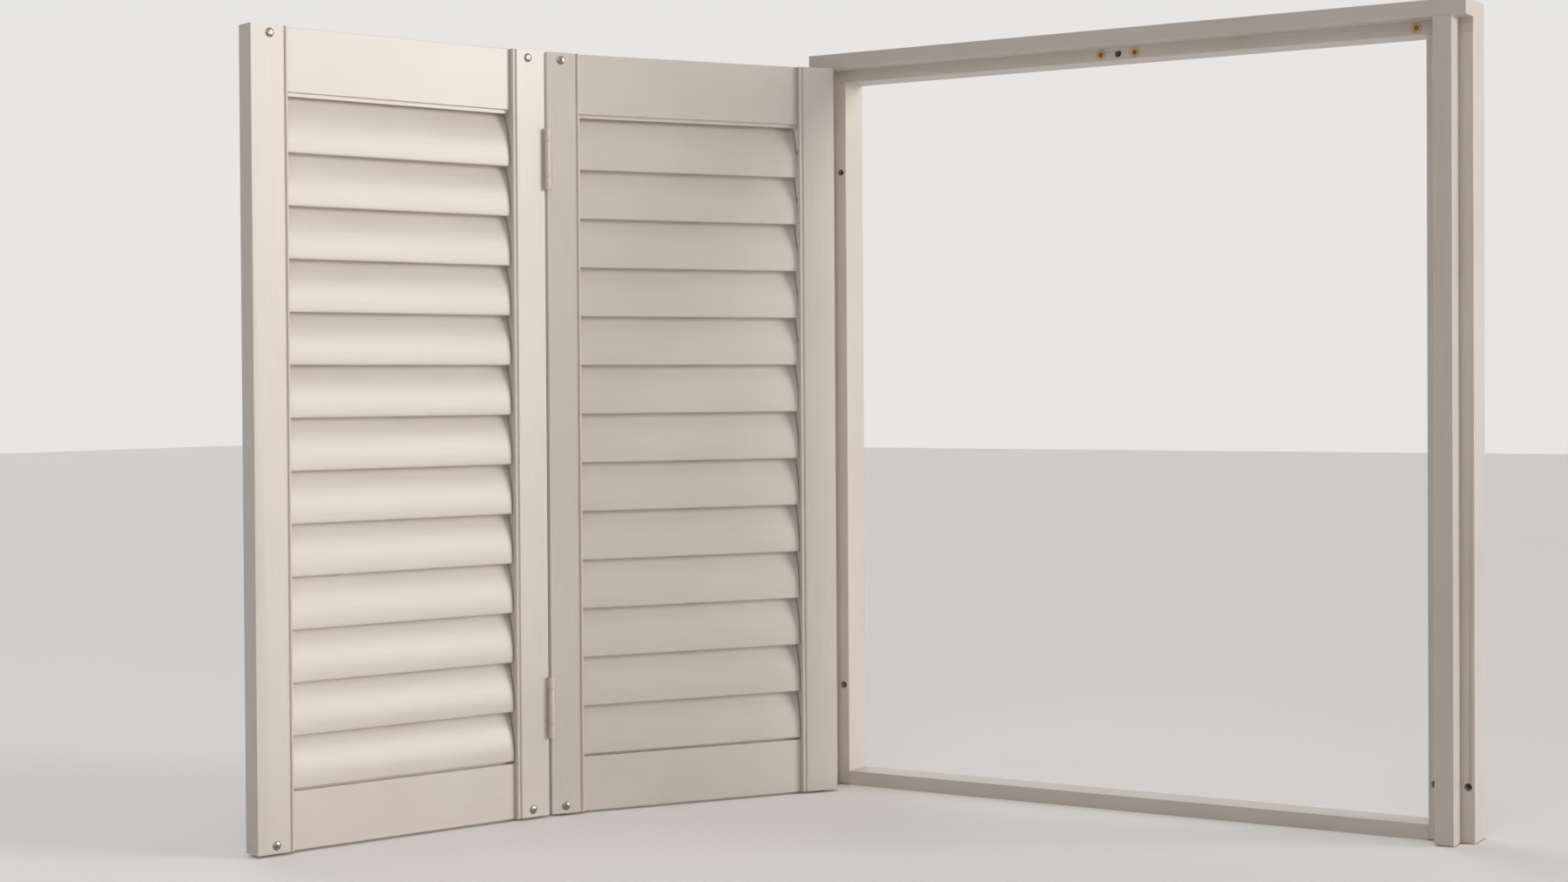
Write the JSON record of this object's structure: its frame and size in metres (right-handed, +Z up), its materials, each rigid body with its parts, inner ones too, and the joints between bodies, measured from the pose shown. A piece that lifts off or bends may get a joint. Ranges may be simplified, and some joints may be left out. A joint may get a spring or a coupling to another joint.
{
  "type": "louvred shutters",
  "caption": "Pair of hinged louvred window shutter panels on their own frame, folded open, with tilting louvres on a rod.",
  "frame": {"origin": "middle of the bottom stop's underside, where the frame stands on the window board", "axes": "+X across the window to the right as seen from the room, +Y from the room towards the window, +Z up"},
  "size_m": [1.1114, 0.7717, 0.9115],
  "materials": {
    "panel_paint": "satin paint",
    "louvre_paint": "satin paint",
    "frame_paint": "satin paint",
    "hinge_paint": "satin paint",
    "bright_steel": "bright",
    "dark_steel": "dark",
    "catch_plastic": "matt",
    "plug_plastic": "satin"
  },
  "bodies": {
    "frame": {"left_jamb": "frame_paint", "head": "frame_paint", "t_post": "frame_paint", "bottom_stop": "frame_paint", "magnet_catches": "catch_plastic", "magnet_screws": "dark_steel", "frame_hinge_jamb_leaves": "hinge_paint", "frame_hinge_pins": "hinge_paint", "jamb_leaf_screws": "hinge_paint"},
    "inner_panel": {"inner_hinge_stile": "panel_paint", "inner_fold_stile": "panel_paint", "inner_top_rail": "panel_paint", "inner_bottom_rail": "panel_paint", "frame_hinge_panel_leaves": "hinge_paint", "fold_hinge_inner_leaves": "hinge_paint", "fold_hinge_pins": "hinge_paint", "inner_leaf_screws": "hinge_paint", "inner_strike_screws": "bright_steel"},
    "outer_panel": {"outer_fold_stile": "panel_paint", "outer_free_stile": "panel_paint", "outer_top_rail": "panel_paint", "outer_bottom_rail": "panel_paint", "fold_hinge_outer_leaves": "hinge_paint", "outer_leaf_screws": "hinge_paint", "outer_strike_screws": "bright_steel"},
    "inner_louvre_01": {"inner_louvre_01": "louvre_paint"},
    "inner_louvre_02": {"inner_louvre_02": "louvre_paint"},
    "inner_louvre_03": {"inner_louvre_03": "louvre_paint"},
    "inner_louvre_04": {"inner_louvre_04": "louvre_paint"},
    "inner_louvre_05": {"inner_louvre_05": "louvre_paint"},
    "inner_louvre_06": {"inner_louvre_06": "louvre_paint"},
    "inner_louvre_07": {"inner_louvre_07": "louvre_paint"},
    "inner_louvre_08": {"inner_louvre_08": "louvre_paint"},
    "inner_louvre_09": {"inner_louvre_09": "louvre_paint"},
    "inner_louvre_10": {"inner_louvre_10": "louvre_paint"},
    "inner_louvre_11": {"inner_louvre_11": "louvre_paint"},
    "inner_louvre_12": {"inner_louvre_12": "louvre_paint"},
    "inner_louvre_13": {"inner_louvre_13": "louvre_paint"},
    "inner_rod": {"inner_tilt_rod": "panel_paint", "inner_rod_staples": "bright_steel"},
    "inner_tension_screw": {"inner_tension_screw": "plug_plastic"},
    "outer_louvre_01": {"outer_louvre_01": "louvre_paint"},
    "outer_louvre_02": {"outer_louvre_02": "louvre_paint"},
    "outer_louvre_03": {"outer_louvre_03": "louvre_paint"},
    "outer_louvre_04": {"outer_louvre_04": "louvre_paint"},
    "outer_louvre_05": {"outer_louvre_05": "louvre_paint"},
    "outer_louvre_06": {"outer_louvre_06": "louvre_paint"},
    "outer_louvre_07": {"outer_louvre_07": "louvre_paint"},
    "outer_louvre_08": {"outer_louvre_08": "louvre_paint"},
    "outer_louvre_09": {"outer_louvre_09": "louvre_paint"},
    "outer_louvre_10": {"outer_louvre_10": "louvre_paint"},
    "outer_louvre_11": {"outer_louvre_11": "louvre_paint"},
    "outer_louvre_12": {"outer_louvre_12": "louvre_paint"},
    "outer_louvre_13": {"outer_louvre_13": "louvre_paint"},
    "outer_rod": {"outer_tilt_rod": "panel_paint", "outer_rod_staples": "bright_steel"},
    "outer_tension_screw": {"outer_tension_screw": "plug_plastic"}
  },
  "joints": [
    {"name": "inner_panel_swing", "type": "hinge", "parent": "frame", "child": "inner_panel", "pos_m": [-0.3787, -0.05365, 0.003], "axis": [0, 0, -1], "range_deg": [-115, 48.3]},
    {"name": "outer_panel_fold", "type": "hinge", "parent": "inner_panel", "child": "outer_panel", "pos_m": [-0.54834, -0.39398, 0.003], "axis": [0, 0, 1], "range_deg": [-13.5, 160]},
    {"name": "inner_louvre_01_tilt", "type": "hinge", "parent": "inner_panel", "child": "inner_louvre_01", "pos_m": [-0.46523, -0.22658, 0.1004], "axis": [0.5255, 0.8508, 0], "range_deg": [-148, 5]},
    {"name": "inner_louvre_02_tilt", "type": "hinge", "parent": "inner_panel", "child": "inner_louvre_02", "pos_m": [-0.46523, -0.22658, 0.15754], "axis": [0.5255, 0.8508, 0], "range_deg": [-148, 5]},
    {"name": "inner_louvre_03_tilt", "type": "hinge", "parent": "inner_panel", "child": "inner_louvre_03", "pos_m": [-0.46523, -0.22658, 0.21468], "axis": [0.5255, 0.8508, 0], "range_deg": [-148, 5]},
    {"name": "inner_louvre_04_tilt", "type": "hinge", "parent": "inner_panel", "child": "inner_louvre_04", "pos_m": [-0.46523, -0.22658, 0.27182], "axis": [0.5255, 0.8508, 0], "range_deg": [-148, 5]},
    {"name": "inner_louvre_05_tilt", "type": "hinge", "parent": "inner_panel", "child": "inner_louvre_05", "pos_m": [-0.46523, -0.22658, 0.32897], "axis": [0.5255, 0.8508, 0], "range_deg": [-148, 5]},
    {"name": "inner_louvre_06_tilt", "type": "hinge", "parent": "inner_panel", "child": "inner_louvre_06", "pos_m": [-0.46523, -0.22658, 0.38611], "axis": [0.5255, 0.8508, 0], "range_deg": [-148, 5]},
    {"name": "inner_louvre_07_tilt", "type": "hinge", "parent": "inner_panel", "child": "inner_louvre_07", "pos_m": [-0.46523, -0.22658, 0.44325], "axis": [0.5255, 0.8508, 0], "range_deg": [-148, 5]},
    {"name": "inner_louvre_08_tilt", "type": "hinge", "parent": "inner_panel", "child": "inner_louvre_08", "pos_m": [-0.46523, -0.22658, 0.50039], "axis": [0.5255, 0.8508, 0], "range_deg": [-148, 5]},
    {"name": "inner_louvre_09_tilt", "type": "hinge", "parent": "inner_panel", "child": "inner_louvre_09", "pos_m": [-0.46523, -0.22658, 0.55753], "axis": [0.5255, 0.8508, 0], "range_deg": [-148, 5]},
    {"name": "inner_louvre_10_tilt", "type": "hinge", "parent": "inner_panel", "child": "inner_louvre_10", "pos_m": [-0.46523, -0.22658, 0.61467], "axis": [0.5255, 0.8508, 0], "range_deg": [-148, 5]},
    {"name": "inner_louvre_11_tilt", "type": "hinge", "parent": "inner_panel", "child": "inner_louvre_11", "pos_m": [-0.46523, -0.22658, 0.67182], "axis": [0.5255, 0.8508, 0], "range_deg": [-148, 5]},
    {"name": "inner_louvre_12_tilt", "type": "hinge", "parent": "inner_panel", "child": "inner_louvre_12", "pos_m": [-0.46523, -0.22658, 0.72896], "axis": [0.5255, 0.8508, 0], "range_deg": [-148, 5]},
    {"name": "inner_louvre_13_tilt", "type": "hinge", "parent": "inner_panel", "child": "inner_louvre_13", "pos_m": [-0.46523, -0.22658, 0.7861], "axis": [0.5255, 0.8508, 0], "range_deg": [-148, 5]},
    {"name": "inner_rod_link", "type": "hinge", "parent": "inner_louvre_07", "child": "inner_rod", "pos_m": [-0.47143, -0.22275, 0.47753], "axis": [0.5255, 0.8508, 0], "range_deg": [-5, 148]},
    {"name": "inner_tension_turn", "type": "hinge", "parent": "inner_panel", "child": "inner_tension_screw", "pos_m": [-0.56218, -0.38356, 0.44325], "axis": [-0.5255, -0.8508, 0], "range_deg": [-180, 180]},
    {"name": "outer_louvre_01_tilt", "type": "hinge", "parent": "outer_panel", "child": "outer_louvre_01", "pos_m": [-0.62379, -0.56823, 0.1004], "axis": [0.3123, 0.95, 0], "range_deg": [-148, 5]},
    {"name": "outer_louvre_02_tilt", "type": "hinge", "parent": "outer_panel", "child": "outer_louvre_02", "pos_m": [-0.62379, -0.56823, 0.15754], "axis": [0.3123, 0.95, 0], "range_deg": [-148, 5]},
    {"name": "outer_louvre_03_tilt", "type": "hinge", "parent": "outer_panel", "child": "outer_louvre_03", "pos_m": [-0.62379, -0.56823, 0.21468], "axis": [0.3123, 0.95, 0], "range_deg": [-148, 5]},
    {"name": "outer_louvre_04_tilt", "type": "hinge", "parent": "outer_panel", "child": "outer_louvre_04", "pos_m": [-0.62379, -0.56823, 0.27182], "axis": [0.3123, 0.95, 0], "range_deg": [-148, 5]},
    {"name": "outer_louvre_05_tilt", "type": "hinge", "parent": "outer_panel", "child": "outer_louvre_05", "pos_m": [-0.62379, -0.56823, 0.32897], "axis": [0.3123, 0.95, 0], "range_deg": [-148, 5]},
    {"name": "outer_louvre_06_tilt", "type": "hinge", "parent": "outer_panel", "child": "outer_louvre_06", "pos_m": [-0.62379, -0.56823, 0.38611], "axis": [0.3123, 0.95, 0], "range_deg": [-148, 5]},
    {"name": "outer_louvre_07_tilt", "type": "hinge", "parent": "outer_panel", "child": "outer_louvre_07", "pos_m": [-0.62379, -0.56823, 0.44325], "axis": [0.3123, 0.95, 0], "range_deg": [-148, 5]},
    {"name": "outer_louvre_08_tilt", "type": "hinge", "parent": "outer_panel", "child": "outer_louvre_08", "pos_m": [-0.62379, -0.56823, 0.50039], "axis": [0.3123, 0.95, 0], "range_deg": [-148, 5]},
    {"name": "outer_louvre_09_tilt", "type": "hinge", "parent": "outer_panel", "child": "outer_louvre_09", "pos_m": [-0.62379, -0.56823, 0.55753], "axis": [0.3123, 0.95, 0], "range_deg": [-148, 5]},
    {"name": "outer_louvre_10_tilt", "type": "hinge", "parent": "outer_panel", "child": "outer_louvre_10", "pos_m": [-0.62379, -0.56823, 0.61467], "axis": [0.3123, 0.95, 0], "range_deg": [-148, 5]},
    {"name": "outer_louvre_11_tilt", "type": "hinge", "parent": "outer_panel", "child": "outer_louvre_11", "pos_m": [-0.62379, -0.56823, 0.67182], "axis": [0.3123, 0.95, 0], "range_deg": [-148, 5]},
    {"name": "outer_louvre_12_tilt", "type": "hinge", "parent": "outer_panel", "child": "outer_louvre_12", "pos_m": [-0.62379, -0.56823, 0.72896], "axis": [0.3123, 0.95, 0], "range_deg": [-148, 5]},
    {"name": "outer_louvre_13_tilt", "type": "hinge", "parent": "outer_panel", "child": "outer_louvre_13", "pos_m": [-0.62379, -0.56823, 0.7861], "axis": [0.3123, 0.95, 0], "range_deg": [-148, 5]},
    {"name": "outer_rod_link", "type": "hinge", "parent": "outer_louvre_07", "child": "outer_rod", "pos_m": [-0.63072, -0.56596, 0.47753], "axis": [0.3123, 0.95, 0], "range_deg": [-5, 148]},
    {"name": "outer_tension_turn", "type": "hinge", "parent": "outer_panel", "child": "outer_tension_screw", "pos_m": [-0.68251, -0.74683, 0.44325], "axis": [-0.3123, -0.95, 0], "range_deg": [-180, 180]}
  ],
  "couplings": [
    {"joint": "inner_louvre_01_tilt", "follows": "inner_louvre_07_tilt", "ratio": 1},
    {"joint": "inner_louvre_02_tilt", "follows": "inner_louvre_07_tilt", "ratio": 1},
    {"joint": "inner_louvre_03_tilt", "follows": "inner_louvre_07_tilt", "ratio": 1},
    {"joint": "inner_louvre_04_tilt", "follows": "inner_louvre_07_tilt", "ratio": 1},
    {"joint": "inner_louvre_05_tilt", "follows": "inner_louvre_07_tilt", "ratio": 1},
    {"joint": "inner_louvre_06_tilt", "follows": "inner_louvre_07_tilt", "ratio": 1},
    {"joint": "inner_louvre_08_tilt", "follows": "inner_louvre_07_tilt", "ratio": 1},
    {"joint": "inner_louvre_09_tilt", "follows": "inner_louvre_07_tilt", "ratio": 1},
    {"joint": "inner_louvre_10_tilt", "follows": "inner_louvre_07_tilt", "ratio": 1},
    {"joint": "inner_louvre_11_tilt", "follows": "inner_louvre_07_tilt", "ratio": 1},
    {"joint": "inner_louvre_12_tilt", "follows": "inner_louvre_07_tilt", "ratio": 1},
    {"joint": "inner_louvre_13_tilt", "follows": "inner_louvre_07_tilt", "ratio": 1},
    {"joint": "inner_rod_link", "follows": "inner_louvre_07_tilt", "ratio": -1},
    {"joint": "outer_louvre_01_tilt", "follows": "outer_louvre_07_tilt", "ratio": 1},
    {"joint": "outer_louvre_02_tilt", "follows": "outer_louvre_07_tilt", "ratio": 1},
    {"joint": "outer_louvre_03_tilt", "follows": "outer_louvre_07_tilt", "ratio": 1},
    {"joint": "outer_louvre_04_tilt", "follows": "outer_louvre_07_tilt", "ratio": 1},
    {"joint": "outer_louvre_05_tilt", "follows": "outer_louvre_07_tilt", "ratio": 1},
    {"joint": "outer_louvre_06_tilt", "follows": "outer_louvre_07_tilt", "ratio": 1},
    {"joint": "outer_louvre_08_tilt", "follows": "outer_louvre_07_tilt", "ratio": 1},
    {"joint": "outer_louvre_09_tilt", "follows": "outer_louvre_07_tilt", "ratio": 1},
    {"joint": "outer_louvre_10_tilt", "follows": "outer_louvre_07_tilt", "ratio": 1},
    {"joint": "outer_louvre_11_tilt", "follows": "outer_louvre_07_tilt", "ratio": 1},
    {"joint": "outer_louvre_12_tilt", "follows": "outer_louvre_07_tilt", "ratio": 1},
    {"joint": "outer_louvre_13_tilt", "follows": "outer_louvre_07_tilt", "ratio": 1},
    {"joint": "outer_rod_link", "follows": "outer_louvre_07_tilt", "ratio": -1}
  ]
}
